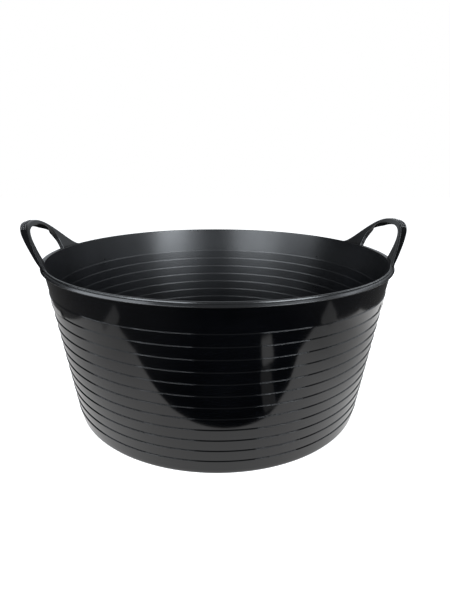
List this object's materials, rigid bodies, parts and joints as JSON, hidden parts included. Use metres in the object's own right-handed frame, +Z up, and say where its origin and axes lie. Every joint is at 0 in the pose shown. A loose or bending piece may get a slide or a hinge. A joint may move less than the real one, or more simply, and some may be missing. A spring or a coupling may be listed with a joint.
{
  "type": "mortar mixing tub",
  "caption": "Shallow round flexible mixing tub with a stepped tapered wall, plain collar, turned-out lip and two strap handles with studded grips that flex at their roots.",
  "frame": {"origin": "centre of the tub's footprint on the surface that it stands on", "axes": "+Z up along the tub's axis; the handles lie on +X and -X; the front of the view looks along +Y"},
  "size_m": [0.5576, 0.507, 0.2805],
  "materials": {
    "tub_wall": "glossy black moulded polyethylene with fine scuffs",
    "rim": "glossy black moulded polyethylene, softly rounded",
    "handle": "semi-gloss black moulded polyethylene",
    "grip": "satin black moulded polyethylene with raised studs"
  },
  "bodies": {
    "tub": {"base_floor": "tub_wall", "base_corner": "tub_wall", "stepped_wall": "tub_wall", "collar": "tub_wall", "rim_lip": "rim", "left_pad": "tub_wall", "left_sill": "rim", "left_root_front": "rim", "left_root_back": "rim", "right_pad": "tub_wall", "right_sill": "rim", "right_root_front": "rim", "right_root_back": "rim"},
    "left_handle": {"left_handle_web": "handle", "left_grip_strap": "grip", "left_liner_front": "handle", "left_liner_back": "handle", "left_crown_skirt": "handle"},
    "right_handle": {"right_handle_web": "handle", "right_grip_strap": "grip", "right_liner_front": "handle", "right_liner_back": "handle", "right_crown_skirt": "handle"}
  },
  "joints": [
    {"name": "right_handle_flex", "type": "hinge", "parent": "tub", "child": "right_handle", "pos_m": [0.2486, 0, 0.244], "axis": [0, 1, 0], "range_deg": [-35, 15], "stiffness_Nm_per_rad": 1.5},
    {"name": "left_handle_flex", "type": "hinge", "parent": "tub", "child": "left_handle", "pos_m": [-0.2486, 0, 0.244], "axis": [0, -1, 0], "range_deg": [-35, 15], "stiffness_Nm_per_rad": 1.5}
  ]
}
